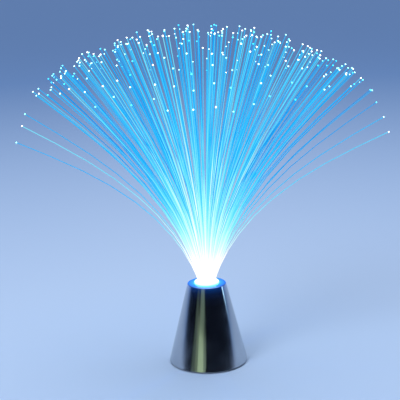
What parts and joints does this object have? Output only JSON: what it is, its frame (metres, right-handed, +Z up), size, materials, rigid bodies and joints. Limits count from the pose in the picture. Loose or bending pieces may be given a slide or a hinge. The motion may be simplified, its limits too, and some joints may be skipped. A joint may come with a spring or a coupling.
{
  "type": "fiber optic lamp",
  "caption": "Battery table lamp: a plated cone with a switch and battery door underneath, and a lift-out spray of glowing plastic fibres in a ferrule at its top.",
  "frame": {"origin": "on the table under the middle of the cone, at the underside of the feet", "axes": "+Z up along the cone's axis, front of the lamp towards -Y, the wider spread of the fibres along X"},
  "size_m": [0.3676, 0.3288, 0.3424],
  "materials": {
    "chrome_plating": "smooth bright plating on moulded plastic",
    "black_plastic": "fine moulded texture",
    "screw_steel": "zinc plated",
    "rubber": "matte",
    "plated_steel": "nickel plated",
    "white_plastic": "satin",
    "brass": "satin",
    "cell_jacket": "printed metal foil without any print",
    "red_insulation": "soft sheen",
    "black_insulation": "soft sheen",
    "circuit_board": "solder-masked board",
    "chip_black": "moulded package",
    "led_lens": "water-clear epoxy, lit blue-white",
    "clear_plastic": "frosted clear, lit white from inside",
    "optical_fibre": "clear plastic fibre, glowing blue to cyan with bright cut ends"
  },
  "bodies": {
    "base": {"shell": "chrome_plating", "base_plate": "black_plastic", "base_screws": "screw_steel", "rubber_feet": "rubber", "switch_frame": "plated_steel", "switch_body": "black_plastic", "switch_terminals": "brass", "switch_screws": "screw_steel", "cell_1": "cell_jacket", "cell_2": "cell_jacket", "cell_3": "cell_jacket", "contact_springs": "plated_steel", "contact_plates": "plated_steel", "battery_wire": "red_insulation", "switch_wire": "black_insulation", "return_wire": "black_insulation", "led_board": "circuit_board", "board_parts": "chip_black", "led_1": "led_lens", "led_2": "led_lens", "led_3": "led_lens", "led_holder": "white_plastic", "board_screws": "screw_steel"},
    "switch_knob": {"switch_slider": "white_plastic"},
    "door": {"battery_door": "black_plastic"},
    "spray": {"ferrule": "clear_plastic", "fibre_tuft_1": "optical_fibre", "fibre_tuft_2": "optical_fibre", "fibre_tuft_3": "optical_fibre", "fibre_tuft_4": "optical_fibre", "fibre_tuft_5": "optical_fibre", "fibre_tuft_6": "optical_fibre"}
  },
  "joints": [
    {"name": "switch_slide", "type": "slide", "parent": "base", "child": "switch_knob", "axis": [0, -1, 0], "range_m": [0, 0.003]},
    {"name": "door_swing", "type": "hinge", "parent": "base", "child": "door", "pos_m": [0, -0.02595, 0.0016], "axis": [-1, 0, 0], "range_deg": [0, 85]},
    {"name": "spray_lift", "type": "slide", "parent": "base", "child": "spray", "axis": [0, 0, 1], "range_m": [0, 0.012]}
  ]
}
